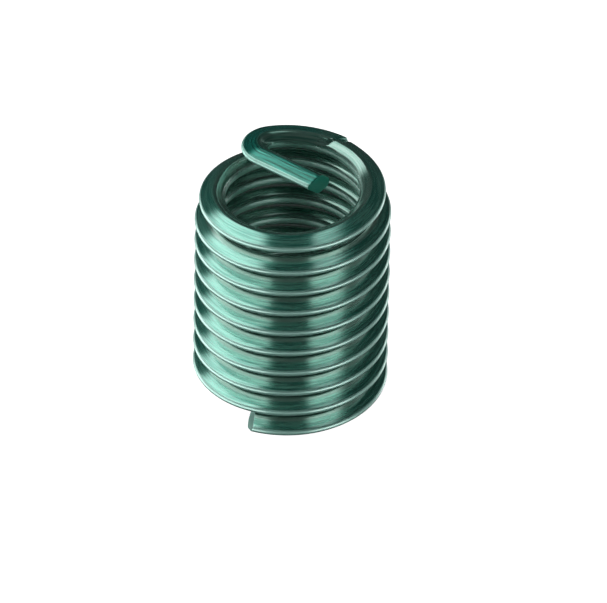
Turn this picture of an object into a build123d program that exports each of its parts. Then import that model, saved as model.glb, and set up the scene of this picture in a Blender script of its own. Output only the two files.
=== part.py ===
from build123d import *
from build123d.topology import SkipClean
import os
from math import cos, pi, radians, sin, tan

os.makedirs("parts", exist_ok=True)

# Helical thread insert for an M6 x 1 thread, free (not yet screwed in), two diameters long.
# One diamond-section wire, wound right-handed, its last coil drawn in and bent across as a tang.
# Millimetres, +Z up. Origin: on the coil axis, level with the lowest point of the wire.

# ---- driving sizes ----
coil_rise = 1.0          # pitch of the thread: the rise of each coil
outer_r = 3.9            # free radius over the outer crests
segment_deg = 60         # the full coils are laid as equal arcs
full_arcs = 50           # arcs at full diameter
start_deg = -123.0       # where the raw wire starts, from +X

lead_deg = 419.0         # arc over which the lead coil is drawn in
lead_in = 0.234          # how far the lead coil is drawn in at its end
notch_deg = 4.0          # arc of the crease between lead coil and tang wire
tang_roll_deg = 11.0     # the tang wire is rolled crest up
tang_lift = 0.04         # and lifted
shoulder_deg = 48.0      # arc from the crease to the bend
bend_r = 0.807           # bend radius of the wire's middle
bend_deg = 122.0         # how far the wire turns in at the bend
tang_length = 2.9        # straight length of the tang
tang_cut_deg = 29.5      # the tang's end is cut slanting by this
tang_chamfer = 0.09      # broken edge round the tang's end

notch_depth = 0.12       # tang break-off notch
notch_width = 0.26

foot_out_deg = 33.1      # slant of the cut foot of the wire: back towards the outside
foot_up_deg = 23.8       # and back towards the top
foot_deg = 3.0           # arc from the raw start to the foot's lowest corner

# ---- sizes that follow ----
reach_out = 0.6 * coil_rise         # thickest line of the wire to its outer crest
reach_in = 0.45 * coil_rise         # and to its inner crest
sharp_half = 0.4375 * coil_rise     # half thickness of the 60 degree diamond, still sharp
corner_half_w = 0.054 * coil_rise   # half width of the small flat rolled on its thick corners
over = 0.03 * coil_rise             # the full coils are swept a little proud, then turned to size
flank = tan(radians(30))
wire_r = outer_r - reach_out        # radius of the wire's thickest line
inner_r = wire_r - reach_in         # free radius inside the inner crests
corner_half = sharp_half - corner_half_w * flank
root_half = sharp_half - reach_in * flank
climb = coil_rise / 360             # rise for each degree of coil
start_z = corner_half - climb * foot_deg
full_deg = full_arcs * segment_deg


def wire_profile(extra):
    """Corners of the wire's diamond, x outwards from the thickest line, proud by extra at both crests."""
    out, into = reach_out + extra, reach_in + extra
    crest, root = sharp_half - out * flank, sharp_half - into * flank
    upper = [
        (out, crest),
        (corner_half_w, corner_half),
        (-corner_half_w, corner_half),
        (-into, root),
    ]
    return upper + [(x, -y) for x, y in reversed(upper)]


def lead_point(turned, lift=0.0):
    """Middle of the wire after it has turned this many degrees past the full coils."""
    part = min(turned / lead_deg, 1.0)
    r = wire_r - lead_in * (1 - (1 - part) ** 2)
    a = radians(start_deg + full_deg + turned)
    return Vector(r * cos(a), r * sin(a), start_z + climb * (full_deg + turned) + lift)


# ---- one arc of the full coils, its crests turned to true cylinders ----
with BuildPart() as arc:
    with BuildLine() as arc_path:
        Helix(pitch=coil_rise, height=climb * segment_deg, radius=wire_r)
    with BuildSketch(Plane(origin=arc_path.line @ 0, x_dir=(1, 0, 0), z_dir=arc_path.line % 0)):
        Polygon(*wire_profile(over), align=None)
    sweep(path=arc_path.line, is_frenet=True, clean=False)
    Cylinder(outer_r, 4 * coil_rise, mode=Mode.INTERSECT)
    Cylinder(inner_r, 4 * coil_rise, mode=Mode.SUBTRACT)

# ---- the foot: the first arc with its slanted cut ----
foot_a = radians(start_deg + foot_deg)
foot_out = Vector(cos(foot_a), sin(foot_a), 0)
foot_along = Vector(-sin(foot_a), cos(foot_a), climb * 360 / (2 * pi * wire_r)).normalized()
foot_tip = Vector(wire_r * cos(foot_a), wire_r * sin(foot_a), 0)
with BuildPart() as foot:
    with Locations(Location((0, 0, start_z), (0, 0, start_deg))):
        add(arc.part, clean=False)
    foot_back = foot_out * tan(radians(foot_out_deg)) + Vector(0, 0, tan(radians(foot_up_deg)))
    split(bisect_by=Plane(origin=foot_tip, z_dir=foot_along - foot_back), keep=Keep.TOP)

# ---- lead coil, drawn in towards the axis ----
arc_steps = [lead_deg * k / 28 for k in range(29)]
with BuildPart() as last_arc:
    last = full_arcs - 1
    turn = Location((0, 0, start_z + climb * segment_deg * last), (0, 0, start_deg + segment_deg * last))
    with Locations(turn):
        add(arc.part, clean=False)
coil_end = lead_point(0)
with BuildPart() as lead:
    with BuildLine() as lead_path:
        Spline(*[lead_point(t) for t in arc_steps])
    with BuildLine() as lead_guide:
        Spline(*[lead_point(t, coil_rise) for t in arc_steps])
    end_face = last_arc.part.faces().filter_by(GeomType.PLANE).sort_by_distance(coil_end)[0]
    sweep(end_face, path=lead_path.line, binormal=lead_guide.wire(), clean=False)

# ---- tang wire: shoulder, bend and straight tang, all climbing at one slope ----
tang_r = wire_r - lead_in
slope = climb * 360 / (2 * pi * tang_r)
shoulder_a = start_deg + full_deg + lead_deg + notch_deg
shoulder_z = start_z + climb * (full_deg + lead_deg + notch_deg) + tang_lift
bend_a = shoulder_a + shoulder_deg
bend_z = shoulder_z + climb * shoulder_deg
bend_in = tang_r - bend_r
bend_centre = Vector(bend_in * cos(radians(bend_a)), bend_in * sin(radians(bend_a)), bend_z)
heading = radians(bend_a + bend_deg + 90)
tang_along = Vector(cos(heading), sin(heading), slope)
with BuildPart() as tang:
    with BuildLine() as tang_path:
        shoulder = Helix(
            pitch=slope * 2 * pi * tang_r,
            height=climb * shoulder_deg,
            radius=tang_r,
            mode=Mode.PRIVATE,
        )
        bend = Helix(
            pitch=slope * 2 * pi * bend_r,
            height=slope * bend_r * radians(bend_deg),
            radius=bend_r,
            mode=Mode.PRIVATE,
        )
        shoulder = shoulder.moved(Location((0, 0, shoulder_z), (0, 0, shoulder_a)))
        bend = bend.moved(Location(bend_centre, (0, 0, bend_a)))
        add(shoulder)
        add(bend)
        Line(bend @ 1, (bend @ 1) + tang_along * tang_length)
    with BuildLine() as tang_guide:
        add(tang_path.line.moved(Location((0, 0, coil_rise))))
    tang_start = tang_path.line @ 0
    tang_out = Vector(cos(radians(shoulder_a)), sin(radians(shoulder_a)), 0)
    tang_heading = tang_path.wire() % 0
    with BuildSketch(Plane(origin=tang_start, x_dir=tang_out, z_dir=tang_heading)):
        Polygon(*wire_profile(0), rotation=-tang_roll_deg, align=None)
    sweep(path=tang_path.wire(), binormal=tang_guide.wire(), clean=False)
    # the slanted end, its sharp edge broken
    tang_end = (bend @ 1) + tang_along * tang_length
    cut_heading = heading - radians(tang_cut_deg)
    end_cut = Plane(origin=tang_end, z_dir=(cos(cut_heading), sin(cut_heading), 0))
    split(bisect_by=end_cut, keep=Keep.BOTTOM)
    end_face = tang.faces().filter_by(GeomType.PLANE).sort_by_distance(tang_end)[0]
    extrude(end_face, amount=tang_chamfer, taper=45)

# ---- the crease that joins the lead coil to the rolled tang wire ----
with BuildPart() as crease:
    lead_end = lead.part.faces().sort_by_distance(lead_point(lead_deg))[0]
    tang_begin = tang.part.faces().filter_by(GeomType.PLANE).sort_by_distance(tang_start)[0]
    loft([lead_end, tang_begin], clean=False)

# ---- lead coil, crease and tang as one length, with the break-off notch ----
notch_z = start_z + climb * (full_deg + lead_deg)
top_a = radians(start_deg + full_deg + lead_deg)
foot_of_notch_a = top_a + radians(notch_deg)
notch_top = Vector(tang_r * cos(top_a), tang_r * sin(top_a), notch_z + corner_half)
root_r = tang_r - reach_in
notch_root = Vector(root_r * cos(foot_of_notch_a), root_r * sin(foot_of_notch_a), notch_z + root_half)
notch_line = (notch_root - notch_top).normalized()
wire_line = Vector(-sin(top_a), cos(top_a), slope)
notch_up = notch_line.cross(wire_line).normalized()
if notch_up.Z < 0:
    notch_up = -notch_up
with BuildPart() as hook:
    with SkipClean():
        add(lead.part, clean=False)
        add(crease.part, clean=False)
        add(tang.part, clean=False)
    notch_start = notch_top - notch_line * coil_rise / 2
    with BuildSketch(Plane(origin=notch_start, x_dir=notch_up, z_dir=notch_line)):
        Polygon(
            (-notch_depth, 0),
            (notch_depth, notch_width),
            (notch_depth, -notch_width),
            align=None,
        )
    with SkipClean():
        extrude(amount=2 * coil_rise, mode=Mode.SUBTRACT, clean=False)

# ---- the whole wire ----
with BuildPart() as wire_coil:
    with SkipClean():
        add(foot.part, clean=False)
        places = [
            Location((0, 0, start_z + climb * segment_deg * k), (0, 0, start_deg + segment_deg * k))
            for k in range(1, full_arcs)
        ]
        with Locations(*places):
            add(arc.part, clean=False)
        add(hook.part, clean=False)
lowest = wire_coil.part.bounding_box().min.Z
wire_coil.part = wire_coil.part.moved(Location((0, 0, -lowest)))
wire_coil.part.label = "wire_coil"
export_step(wire_coil.part, "parts/wire_coil.step")
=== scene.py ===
from math import atan2, cos, pi, radians, sin, tan

import bmesh
import bpy
from mathutils import Matrix, Vector


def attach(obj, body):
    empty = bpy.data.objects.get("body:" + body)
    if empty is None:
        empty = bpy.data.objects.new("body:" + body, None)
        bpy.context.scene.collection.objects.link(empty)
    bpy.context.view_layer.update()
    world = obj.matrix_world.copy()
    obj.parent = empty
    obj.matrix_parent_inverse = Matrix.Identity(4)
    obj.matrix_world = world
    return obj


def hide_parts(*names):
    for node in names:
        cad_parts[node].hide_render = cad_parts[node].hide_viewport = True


# Helical thread insert: one green-dyed, diamond-section steel wire, wound right-handed,
# its last coil drawn in and bent across the bore as a tang.
# Metres, +Z up, in the same frame as the solid.

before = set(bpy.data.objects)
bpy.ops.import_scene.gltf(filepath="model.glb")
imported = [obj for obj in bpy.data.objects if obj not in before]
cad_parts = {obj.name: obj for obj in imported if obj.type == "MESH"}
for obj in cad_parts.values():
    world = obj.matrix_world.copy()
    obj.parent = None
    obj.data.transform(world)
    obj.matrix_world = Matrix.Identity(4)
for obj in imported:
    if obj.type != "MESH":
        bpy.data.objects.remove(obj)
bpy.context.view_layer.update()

mm = 0.001

# ---- the wire and the coil, in millimetres and degrees ----
pitch = 1.0
wire_r = 3.3             # radius of the wire's thickest line
outer_reach = 0.598      # thickest line to outer crest
inner_reach = 0.449      # thickest line to inner crest
sharp_half = 0.4375      # half thickness before the corners are rolled round
outer_round = 0.155      # rounding of the outer crest
side_round = 0.20        # rounding of the thick corners
foot_z = 0.4090          # wire's middle where the foot touches
foot_at = -120.0         # direction of the foot's lowest corner, from +X
start_at = -123.0        # raw start of the wire
whole_turns = 8          # full coils laid as copies of the first
part_turn = 120.0        # and the rest of the last one
lead_turn = 419.0        # degrees over which the lead coil is drawn in
lead_in = 0.234          # how far it is drawn in
crease_turn = 4.0        # degrees over which the tang wire is rolled
tang_roll = 11.0         # crest up
tang_lift = 0.04
shoulder_turn = 48.0
bend_r = 0.807
bend_turn = 122.0
tang_length = 2.84
tang_cut = 12.0          # slant of the tang's cut end
tang_broken_edge = 0.11
bend_steps = 48
tang_pieces = 14
tang_spare = 0.8         # drawn past the tang's end, to be cut off
nip_depth = 0.13         # break-off notch
nip_slant = 0.55         # the notch runs slanting: its inner end lies further along
nip_sides = (-0.25, 0.0, 0.25, 0.5)  # the notch deepens outwards, in equal shares from each of these
nip_under = -0.06        # lowest part of the crest that the notch takes with it
slanted_rings = 5        # rings over which the slant comes and goes
crease_rings = 10
foot_out = 33.1          # slant of the cut foot: back towards the outside
foot_up = 23.8           # and back towards the top
foot_cut_height = 0.003  # where the cut crosses the wire's thickest line
foot_broken_edge = 0.08
ring_step = 3.0          # degrees between rings of the full coils
climb = pitch / 360      # rise for each degree of coil


def wire_ring(bm, marks):
    """The wire's rounded diamond as a ring of edges, upright at the raw start, facing along the coil."""
    sharp_reach = sharp_half / tan(radians(30))
    side_half = sharp_half - side_round * (1 / cos(radians(30)) - 1)
    inner_round = (sharp_reach - inner_reach) / (1 / sin(radians(30)) - 1)
    corners = [
        (Vector((outer_reach - outer_round, 0, 0)), outer_round, -60, 120, 10),
        (Vector((0, 0, side_half - side_round)), side_round, 60, 60, 6),
        (Vector((inner_round - inner_reach, 0, 0)), inner_round, 120, 120, 10),
        (Vector((0, 0, side_round - side_half)), side_round, 240, 60, 6),
    ]
    verts, ends = [], []
    for middle, r, start, sweep, steps in corners:
        verts.append(bm.verts.new(middle + r * Vector((cos(radians(start)), 0, sin(radians(start))))))
        ends.append([verts[-1]])
        for _ in range(steps):
            verts += bmesh.ops.extrude_vert_indiv(bm, verts=verts[-1:])["verts"]
            bmesh.ops.rotate(
                bm, verts=verts[-1:], cent=middle, matrix=Matrix.Rotation(radians(-sweep / steps), 3, "Y")
            )
        ends[-1].append(verts[-1])
    for (_, last), (first, _) in zip(ends, ends[1:] + ends[:1]):
        quarter = (first.co - last.co) / 4
        for _ in range(3):
            last = bmesh.ops.extrude_vert_indiv(bm, verts=[last])["verts"][0]
            bmesh.ops.translate(bm, verts=[last], vec=quarter)
            verts.append(last)
        bm.edges.new((last, first))
    for v in verts:
        v[marks["out"]], v[marks["up"]], v[marks["along"]] = v.co.x, v.co.z, 0.0
    slope = climb * 360 / (2 * pi * wire_r)
    bmesh.ops.rotate(bm, verts=verts, cent=(0, 0, 0), matrix=Matrix.Rotation(atan2(slope, 1), 3, "X"))
    bmesh.ops.translate(bm, verts=verts, vec=(wire_r, 0, foot_z - climb * (foot_at - start_at)))
    bmesh.ops.rotate(bm, verts=verts, cent=(0, 0, 0), matrix=Matrix.Rotation(radians(start_at), 3, "Z"))
    edges = dict.fromkeys(e for v in verts for e in v.link_edges)
    return list(edges), verts


def next_ring(bm, ring, along_mark, along):
    """Draws the wire on by one ring, still to be moved, and notes how far along it is."""
    out = bmesh.ops.extrude_edge_only(bm, edges=ring)["geom"]
    verts = [g for g in out if isinstance(g, bmesh.types.BMVert)]
    fresh = set(verts)
    edges = [g for g in out if isinstance(g, bmesh.types.BMEdge) and fresh.issuperset(g.verts)]
    for v in verts:
        v[along_mark] = along
    return edges, verts


def wind(bm, ring, marks, along, turn, steps, centre, radius, draw=None, rise=climb):
    """Winds the ring round a vertical line through centre, rising, drawn in by draw(degrees)."""
    step = turn / steps
    verts = []
    for k in range(steps):
        along += radians(step) * radius
        ring, verts = next_ring(bm, ring, marks["along"], along)
        bmesh.ops.rotate(bm, verts=verts, cent=centre, matrix=Matrix.Rotation(radians(step), 3, "Z"))
        shift = Vector((0, 0, rise * step))
        if draw:
            middle = sum((v.co for v in verts), Vector()) / len(verts)
            shift -= Vector((middle.x, middle.y, 0)).normalized() * (draw((k + 1) * step) - draw(k * step))
        bmesh.ops.translate(bm, verts=verts, vec=shift)
    return ring, verts, along


def drawn_in(turned):
    """How far the lead coil is drawn in after this many degrees."""
    return lead_in * (1 - (1 - turned / lead_turn) ** 2)


def slant(bm, verts, at, amount):
    """Shears a ring at direction at, so that its inner side moves on along the wire."""
    along_wire = Vector((-sin(radians(at)), cos(radians(at)), 0))
    outwards = Vector((cos(radians(at)), sin(radians(at)), 0))
    middle = sum((v.co for v in verts), Vector()) / len(verts)
    shear = Matrix([
        [(i == j) - amount * along_wire[i] * outwards[j] for j in range(3)]
        for i in range(3)
    ])
    bmesh.ops.transform(bm, verts=verts, space=Matrix.Translation(-middle), matrix=shear.to_4x4())


def wind_hook(bm, marks):
    """Rest of the last full coil, lead coil, crease, shoulder, bend and straight tang."""
    centre = Vector((0, 0, 0))
    turn_length = 2 * pi * wire_r
    ring, verts = wire_ring(bm, marks)
    bmesh.ops.translate(bm, verts=verts, vec=(0, 0, pitch * whole_turns))
    along = turn_length * whole_turns
    for v in verts:
        v[marks["along"]] = along
    ring, verts, along = wind(
        bm, ring, marks, along, part_turn, round(part_turn / ring_step), centre, wire_r
    )
    before_crease = lead_turn - slanted_rings * ring_step
    ring, verts, along = wind(
        bm, ring, marks, along, before_crease, round(before_crease / ring_step), centre,
        wire_r - lead_in / 2, draw=drawn_in,
    )
    tang_r = wire_r - lead_in
    at = start_at + part_turn + before_crease

    # the crease: the rings turn slanting, the wire rolls crest up and lifts, and a notch nips its top
    for _ in range(slanted_rings):
        ring, verts, along = wind(bm, ring, marks, along, ring_step, 1, centre, tang_r)
        at += ring_step
        slant(bm, verts, at, nip_slant / slanted_rings)
    steps = crease_rings
    for k in range(steps):
        ring, verts, along = wind(bm, ring, marks, along, crease_turn / steps, 1, centre, tang_r)
        at += crease_turn / steps
        along_wire = Vector((-sin(radians(at)), cos(radians(at)), 0))
        middle = sum((v.co for v in verts), Vector()) / len(verts)
        bmesh.ops.rotate(
            bm, verts=verts, cent=middle, matrix=Matrix.Rotation(radians(-tang_roll / steps), 3, along_wire)
        )
        bmesh.ops.translate(bm, verts=verts, vec=(0, 0, tang_lift / steps))
        nip = nip_depth * (sin(pi * (k + 1) / steps) - sin(pi * k / steps))
        for side in nip_sides:
            top = [v for v in verts if v[marks["out"]] > side and v[marks["up"]] > nip_under]
            bmesh.ops.translate(bm, verts=top, vec=(0, 0, -nip / len(nip_sides)))
    for _ in range(slanted_rings):
        ring, verts, along = wind(bm, ring, marks, along, ring_step, 1, centre, tang_r)
        at += ring_step
        slant(bm, verts, at, -nip_slant / slanted_rings)

    # shoulder, bend and straight tang
    rest = shoulder_turn - slanted_rings * ring_step
    ring, verts, along = wind(bm, ring, marks, along, rest, round(rest / ring_step), centre, tang_r)
    at += rest
    bend_centre = (tang_r - bend_r) * Vector((cos(radians(at)), sin(radians(at)), 0))
    rise = climb * bend_r / tang_r
    ring, verts, along = wind(bm, ring, marks, along, bend_turn, bend_steps, bend_centre, bend_r, rise=rise)
    heading = radians(at + bend_turn + 90)
    straight = Vector((cos(heading), sin(heading), climb * 360 / (2 * pi * tang_r)))
    middle = bend_centre + bend_r * Vector((cos(heading - pi / 2), sin(heading - pi / 2), 0))
    middle.z = sum(v.co.z for v in verts) / len(verts)
    piece = (tang_length + tang_spare) / tang_pieces
    for _ in range(tang_pieces):
        along += piece
        ring, verts = next_ring(bm, ring, marks["along"], along)
        bmesh.ops.translate(bm, verts=verts, vec=straight * piece)
    cut_heading = heading - radians(tang_cut)
    end_way = Vector((cos(cut_heading), sin(cut_heading), 0))
    end = middle + straight * tang_length + end_way * tang_broken_edge
    cut_end(bm, lambda v: v[marks["along"]] > along - 2.4, end, end_way, tang_broken_edge)


def wind_full_coils(bm, marks):
    """One full coil by rings, the others as copies of it, one pitch up each."""
    before = set(bm.verts)
    ring, _ = wire_ring(bm, marks)
    wind(bm, ring, marks, 0.0, 360.0, round(360 / ring_step), Vector((0, 0, 0)), wire_r)
    coil = [v for v in bm.verts if v not in before]
    own = set(coil)
    geom = coil + [e for e in bm.edges if own.issuperset(e.verts)] + [
        f for f in bm.faces if own.issuperset(f.verts)
    ]
    for k in range(1, whole_turns):
        copy = bmesh.ops.duplicate(bm, geom=geom)["geom"]
        verts = [g for g in copy if isinstance(g, bmesh.types.BMVert)]
        bmesh.ops.translate(bm, verts=verts, vec=(0, 0, pitch * k))
        for v in verts:
            v[marks["along"]] += 2 * pi * wire_r * k
    bmesh.ops.remove_doubles(bm, verts=bm.verts, dist=1e-3)


def cut_end(bm, near, point, way, broken_edge):
    """Cuts the wire's end slanting, closes it and breaks its edge."""
    verts = [v for v in bm.verts if near(v)]
    kept = set(verts)
    edges = [e for e in bm.edges if kept.issuperset(e.verts)]
    faces = [f for f in bm.faces if kept.issuperset(f.verts)]
    bmesh.ops.bisect_plane(
        bm, geom=verts + edges + faces, plane_co=point, plane_no=way, clear_outer=True, dist=1e-5
    )
    rim = [e for e in bm.edges if e.is_boundary and near(e.verts[0])]
    cap = bmesh.ops.edgeloop_fill(bm, edges=rim)["faces"]
    cap[0][bm.faces.layers.float["wire_cut"]] = 1.0
    bmesh.ops.bevel(
        bm, geom=list(cap[0].edges), offset=broken_edge, offset_type="OFFSET", affect="EDGES",
        segments=4, profile=0.5, material=-1, clamp_overlap=True,
    )


def wind_insert():
    bm = bmesh.new()
    layers = bm.verts.layers.float
    for name in ("wire_out", "wire_up", "wire_along"):
        layers.new(name)
    bm.faces.layers.float.new("wire_cut")
    marks = {"out": layers["wire_out"], "up": layers["wire_up"], "along": layers["wire_along"]}
    wind_hook(bm, marks)
    wind_full_coils(bm, marks)

    foot_a = radians(foot_at)
    outwards = Vector((cos(foot_a), sin(foot_a), 0))
    forwards = Vector((-sin(foot_a), cos(foot_a), climb * 360 / (2 * pi * wire_r))).normalized()
    foot_way = outwards * tan(radians(foot_out)) + Vector((0, 0, tan(radians(foot_up)))) - forwards
    foot_point = outwards * wire_r + Vector((0, 0, foot_cut_height))
    cut_end(bm, lambda v: v[marks["along"]] < 1.5, foot_point, foot_way, foot_broken_edge)

    bmesh.ops.recalc_face_normals(bm, faces=bm.faces)
    cut_mark = bm.faces.layers.float["wire_cut"]
    for face in bm.faces:
        face.smooth = face[cut_mark] < 0.5
    bmesh.ops.scale(bm, verts=bm.verts, vec=(mm, mm, mm))
    mesh = bpy.data.meshes.new("wound_wire")
    bm.to_mesh(mesh)
    bm.free()
    wire = bpy.data.objects.new("wound_wire", mesh)
    bpy.context.scene.collection.objects.link(wire)
    return wire


# ---- finish: dyes as (deep, thin), which change across the draw lines ----
coil_dye = (0.01, 0.26, 0.19), (0.15, 0.50, 0.39)
hook_dye = (0.00, 0.17, 0.12), (0.03, 0.40, 0.31)
inside_dye = (0.06, 0.24, 0.18), (0.20, 0.40, 0.33)
# painted reflection of the coil above: paler grey low in the groove of every coil but the top one
groove_painted_reflection = (0.24, 0.44, 0.37)
underside_dye = (0.50, 0.60, 0.55)
crest_dye = (0.40, 0.75, 0.65)
sheared_dye = (0.02, 0.30, 0.22)
bright_rough, dull_rough = 0.17, 0.50
line_stretch = 0.045     # how slowly the draw lines change along the wire


def node(tree, kind, place=(0, 0), **values):
    n = tree.nodes.new(kind)
    n.location = place
    for key, value in values.items():
        setattr(n, key, value)
    return n


def link(tree, source, target):
    tree.links.new(source, target)


def band(tree, value, low, high, place):
    """0 below low, 1 above high, smooth between."""
    n = node(tree, "ShaderNodeMapRange", place, interpolation_type="SMOOTHSTEP")
    n.inputs["From Min"].default_value = low
    n.inputs["From Max"].default_value = high
    link(tree, value, n.inputs["Value"])
    return n.outputs["Result"]


def sums(tree, how, a, b, place):
    """a and b put together; MULTIPLY_ADD adds 1 to their product."""
    n = node(tree, "ShaderNodeMath", place, operation=how)
    for socket, value in zip(n.inputs, (a, b)):
        if isinstance(value, (int, float)):
            socket.default_value = value
        else:
            link(tree, value, socket)
    n.inputs[2].default_value = 1.0
    return n.outputs[0]


def blend(tree, factor, a, b, place):
    n = node(tree, "ShaderNodeMix", place, data_type="RGBA")
    colours = [s for s in n.inputs if s.type == "RGBA"]
    for socket, value in ((n.inputs["Factor"], factor), (colours[0], a), (colours[1], b)):
        if isinstance(value, tuple):
            socket.default_value = value + (1.0,)
        elif isinstance(value, (int, float)):
            socket.default_value = value
        else:
            link(tree, value, socket)
    return next(s for s in n.outputs if s.type == "RGBA")


def dyed_wire():
    material = bpy.data.materials.new("green_dyed_steel_wire")
    material.use_nodes = True
    tree = material.node_tree
    shader = tree.nodes["Principled BSDF"]
    shader.inputs["Metallic"].default_value = 0.62
    shader.inputs["Coat Roughness"].default_value = 0.12
    shader.inputs["Coat IOR"].default_value = 1.9

    out = node(tree, "ShaderNodeAttribute", (-1900, 300), attribute_name="wire_out").outputs["Fac"]
    up = node(tree, "ShaderNodeAttribute", (-1900, 100), attribute_name="wire_up").outputs["Fac"]
    along = node(tree, "ShaderNodeAttribute", (-1900, -100), attribute_name="wire_along").outputs["Fac"]

    # draw lines: noise stretched far along the wire
    stretched = sums(tree, "MULTIPLY", along, line_stretch, (-1700, -100))
    across = node(tree, "ShaderNodeCombineXYZ", (-1500, 0))
    link(tree, out, across.inputs["X"])
    link(tree, up, across.inputs["Y"])
    link(tree, stretched, across.inputs["Z"])
    lines = node(tree, "ShaderNodeTexNoise", (-1300, 0))
    lines.inputs["Scale"].default_value = 14
    lines.inputs["Detail"].default_value = 3
    link(tree, across.outputs[0], lines.inputs["Vector"])
    thin = band(tree, lines.outputs["Fac"], 0.35, 0.65, (-1100, 0))

    # where on the wire: crests, inside, underside, cut ends
    cut = node(tree, "ShaderNodeAttribute", (-1900, -300), attribute_name="wire_cut").outputs["Fac"]
    inwards = sums(tree, "MULTIPLY", out, -1, (-1500, 600))
    outer_crest = band(tree, out, 0.51, 0.55, (-1300, 400))
    inner_crest = band(tree, inwards, 0.41, 0.445, (-1300, 600))
    crests = sums(tree, "MAXIMUM", outer_crest, inner_crest, (-1100, 400))
    inside = band(tree, inwards, -0.12, 0.02, (-1300, 800))
    under = band(tree, sums(tree, "MULTIPLY", up, -1, (-1500, 900)), 0.0, 0.15, (-1300, 1000))

    # from the crease on the dye is deeper; below another coil, low in the groove, a paler grey is painted
    # on as a painted reflection of the coil above
    hook_at = 2 * pi * wire_r * (whole_turns + (part_turn + lead_turn) / 360)
    top_coil_at = hook_at - 2 * pi * wire_r
    hook = band(tree, along, hook_at - 0.3, hook_at + 0.3, (-1500, 1300))
    open_above = band(tree, along, top_coil_at - 1.5, top_coil_at, (-1500, 1600))
    painted_reflection_mask = sums(tree, "MULTIPLY", band(tree, inwards, -0.26, -0.14, (-1300, 1300)),
                  sums(tree, "SUBTRACT", 1.0, open_above, (-1300, 1600)), (-1100, 1300))

    colour = blend(tree, thin, *coil_dye, (-900, 0))
    colour = blend(tree, hook, colour, blend(tree, thin, *hook_dye, (-900, 1900)), (-850, 300))
    # painted reflection: paler grey low in the groove wherever another coil lies above
    colour = blend(tree, painted_reflection_mask, colour, groove_painted_reflection, (-850, 600))
    colour = blend(tree, under, colour, underside_dye, (-800, 100))
    colour = blend(tree, inside, colour, blend(tree, thin, *inside_dye, (-900, 2200)), (-700, 100))
    colour = blend(tree, crests, colour, crest_dye, (-500, 200))
    colour = blend(tree, cut, colour, sheared_dye, (-300, 200))
    link(tree, colour, shader.inputs["Base Color"])
    link(tree, sums(tree, "MULTIPLY_ADD", hook, -0.65, (-500, 500)), shader.inputs["Coat Weight"])

    # crests and cut ends are duller than the drawn flanks
    rough = node(tree, "ShaderNodeMix", (-500, -100), data_type="FLOAT")
    rough.inputs["A"].default_value = bright_rough
    rough.inputs["B"].default_value = dull_rough
    link(tree, sums(tree, "MAXIMUM", crests, cut, (-900, -500)), rough.inputs["Factor"])
    link(tree, rough.outputs["Result"], shader.inputs["Roughness"])

    bump = node(tree, "ShaderNodeBump", (-500, -300))
    bump.inputs["Strength"].default_value = 0.4
    bump.inputs["Distance"].default_value = 0.00002
    link(tree, lines.outputs["Fac"], bump.inputs["Height"])
    link(tree, bump.outputs["Normal"], shader.inputs["Normal"])
    return material


# ---- the part ----
wire = wind_insert()
wire.data.materials.append(dyed_wire())
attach(wire, "root")
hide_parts("wire_coil")


# ---- floor, light and camera ----
left_light = 2.2         # strengths of the soft areas that the wire mirrors
right_light = 1.2
far_table = 0.65
near_table = 2.8
dark_room = 0.03         # and of all the rest


def floor():
    """Plain white to the camera, with no shadow showing, and not mirrored by the wire."""
    bm = bmesh.new()
    bmesh.ops.create_grid(bm, x_segments=1, y_segments=1, size=0.6)
    mesh = bpy.data.meshes.new("floor")
    bm.to_mesh(mesh)
    bm.free()
    obj = bpy.data.objects.new("floor", mesh)
    bpy.context.scene.collection.objects.link(obj)
    material = bpy.data.materials.new("white_floor")
    material.use_nodes = True
    tree = material.node_tree
    shader = tree.nodes["Principled BSDF"]
    shader.inputs["Roughness"].default_value = 1.0
    shader.inputs["Specular IOR Level"].default_value = 0.0
    shader.inputs["Base Color"].default_value = (0.85, 0.85, 0.85, 1)
    path = node(tree, "ShaderNodeLightPath", (-700, 0))
    shader.inputs["Emission Color"].default_value = (1, 1, 1, 1)
    link(tree, path.outputs["Is Camera Ray"], shader.inputs["Emission Strength"])
    obj.data.materials.append(material)
    obj.visible_glossy = False


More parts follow.
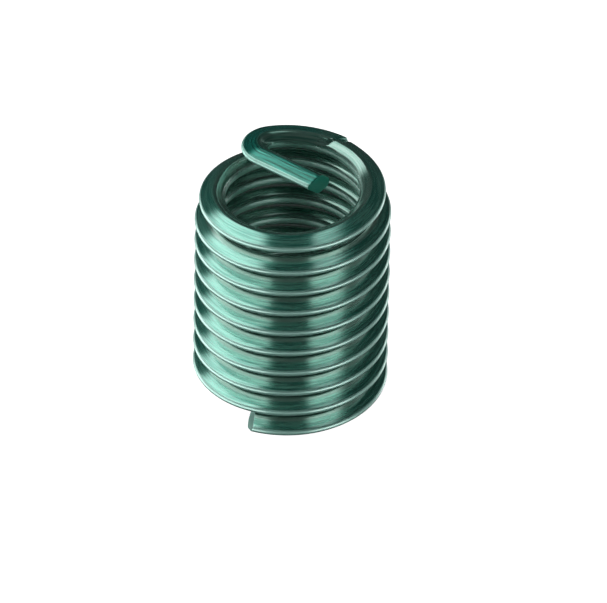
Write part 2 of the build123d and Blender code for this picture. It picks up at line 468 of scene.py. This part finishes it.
def studio():
    """White to the camera only. The wire is lit by, and mirrors, a dark room with soft white areas.

    Three of the areas are stronger than 1, so colours don't render as they are written.
    """
    w = bpy.data.worlds.new("studio")
    bpy.context.scene.world = w
    w.use_nodes = True
    tree = w.node_tree
    back = tree.nodes["Background"]
    out = tree.nodes["World Output"]
    way = node(tree, "ShaderNodeTexCoord", (-2000, 0)).outputs["Generated"]
    split = node(tree, "ShaderNodeSeparateXYZ", (-1800, 0))
    link(tree, way, split.inputs[0])
    x, y, z = split.outputs

    def between(value, a0, a1, b0, b1, place):
        rise = band(tree, value, a0, a1, place)
        fall = band(tree, value, b0, b1, (place[0], place[1] - 250))
        return sums(tree, "SUBTRACT", rise, fall, (place[0] + 200, place[1]))

    # soft area on the left, overhead and nearly down to the table
    left = sums(tree, "MULTIPLY", between(x, -0.95, -0.66, -0.42, -0.30, (-1500, 900)),
                between(y, -0.30, -0.15, 0.46, 0.62, (-1500, 400)), (-1000, 800))
    left = sums(tree, "MULTIPLY", left, band(tree, z, 0.1, 0.25, (-1500, 0)), (-800, 800))
    # smaller one on the right, overhead
    right = sums(tree, "MULTIPLY", between(x, 0.12, 0.20, 0.34, 0.50, (-1500, -500)),
                 between(y, -0.30, -0.15, 0.15, 0.30, (-1500, -1000)), (-1000, -500))
    right = sums(tree, "MULTIPLY", right, band(tree, z, 0.5, 0.8, (-1500, -1400)), (-800, -500))
    # the white table further off, all round but behind
    table = sums(tree, "MULTIPLY", between(z, -0.15, 0.0, 0.10, 0.35, (-1500, -1800)),
                 sums(tree, "SUBTRACT", 1.0, band(tree, y, 0.60, 0.85, (-1500, -2200)), (-1200, -2200)),
                 (-1000, -1800))
    # and near by, to the left and right
    near = sums(tree, "ADD", between(x, -1.2, -1.1, -0.50, -0.36, (-1500, -2600)),
                between(x, 0.30, 0.42, 0.80, 0.95, (-1500, -3100)), (-1000, -2600))
    near = sums(tree, "MULTIPLY", near, between(z, -0.55, -0.40, 0.0, 0.1, (-1500, -3600)), (-800, -2600))
    near = sums(tree, "MULTIPLY", near,
                sums(tree, "SUBTRACT", 1.0, band(tree, y, 0.5, 0.9, (-1500, -4100)), (-1200, -4100)),
                (-600, -2600))

    level = sums(tree, "ADD", sums(tree, "MULTIPLY", left, left_light, (-600, 800)),
                 sums(tree, "MULTIPLY", right, right_light, (-600, -500)), (-400, 300))
    level = sums(tree, "ADD", level, sums(tree, "MULTIPLY", table, far_table, (-600, -1800)), (-200, 0))
    level = sums(tree, "ADD", level, sums(tree, "MULTIPLY", near, near_table, (-400, -2600)), (-100, 0))
    level = sums(tree, "ADD", level, dark_room, (0, 0))
    link(tree, level, back.inputs["Strength"])
    back.inputs["Color"].default_value = (1, 1, 1, 1)
    white = node(tree, "ShaderNodeBackground", (200, -200))
    white.inputs["Color"].default_value = (1, 1, 1, 1)
    path = node(tree, "ShaderNodeLightPath", (200, 300))
    mix = node(tree, "ShaderNodeMixShader", (400, 0))
    link(tree, path.outputs["Is Camera Ray"], mix.inputs["Fac"])
    link(tree, back.outputs["Background"], mix.inputs[1])
    link(tree, white.outputs["Background"], mix.inputs[2])
    link(tree, mix.outputs["Shader"], out.inputs["Surface"])


floor()
studio()

camera_data = bpy.data.cameras.new("camera")
camera_data.lens = 697.6
camera_data.sensor_width = 36
camera_data.shift_x = 0.01937
camera_data.shift_y = -0.0346
camera_data.clip_start = 0.01
camera = bpy.data.objects.new("camera", camera_data)
bpy.context.scene.collection.objects.link(camera)
elevation, distance, aim_height = radians(37.644), 0.468, 0.0052
camera.location = (0, -distance * cos(elevation), aim_height + distance * sin(elevation))
camera.rotation_mode = "QUATERNION"
camera.rotation_quaternion = (
    Matrix.Rotation(pi / 2 - elevation, 3, "X") @ Matrix.Rotation(radians(1.0753), 3, "Z")
).to_quaternion()
bpy.context.scene.camera = camera

bpy.context.scene.view_settings.view_transform = "Standard"
